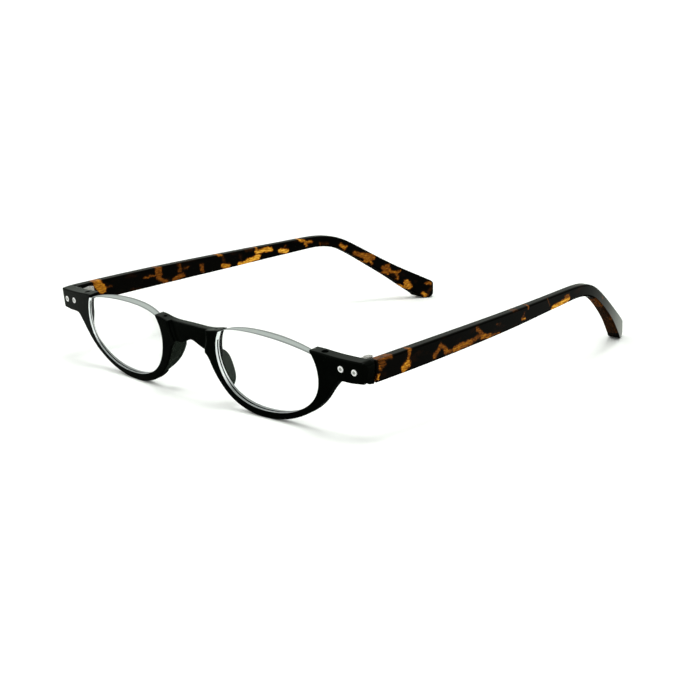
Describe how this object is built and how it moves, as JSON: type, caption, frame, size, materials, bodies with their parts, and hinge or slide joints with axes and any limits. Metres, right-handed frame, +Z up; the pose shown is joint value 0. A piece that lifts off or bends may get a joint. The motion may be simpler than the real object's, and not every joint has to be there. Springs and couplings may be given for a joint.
{
  "type": "half rim eyeglasses",
  "caption": "Half-rim reading glasses: a moulded front holds the lenses from below, with nose pads, riveted barrel hinges and curved temples that fold.",
  "frame": {"origin": "middle of the open glasses' footprint, on the surface they stand on", "axes": "+Z up, +Y back along the temples from the lenses, +X towards the wearer's left"},
  "size_m": [0.1306, 0.141, 0.0247],
  "materials": {
    "front_plastic": "polished black",
    "lens": "clear, polished edge",
    "pad_plastic": "satin black-green",
    "hinge_metal": "nickel plated",
    "screw_metal": "bright",
    "rivet_metal": "polished",
    "tortoise": "polished, amber flecks in near-black"
  },
  "bodies": {
    "front": {"front_frame": "front_plastic", "lens_left": "lens", "lens_right": "lens", "nose_pad_left": "pad_plastic", "nose_pad_right": "pad_plastic", "front_hinge_left": "hinge_metal", "front_hinge_right": "hinge_metal", "hinge_screw_left": "screw_metal", "hinge_screw_right": "screw_metal", "front_rivets_left": "rivet_metal", "front_rivets_right": "rivet_metal"},
    "temple_left": {"temple_left": "tortoise", "temple_hinge_left": "hinge_metal"},
    "temple_right": {"temple_right": "tortoise", "temple_hinge_right": "hinge_metal"}
  },
  "joints": [
    {"name": "fold_left", "type": "hinge", "parent": "front", "child": "temple_left", "pos_m": [0.05947, -0.0588, 0.01896], "axis": [0, -0.1311, 0.9914], "range_deg": [0, 84]},
    {"name": "fold_right", "type": "hinge", "parent": "front", "child": "temple_right", "pos_m": [-0.05947, -0.0588, 0.01896], "axis": [0, 0.1311, -0.9914], "range_deg": [0, 72]}
  ]
}
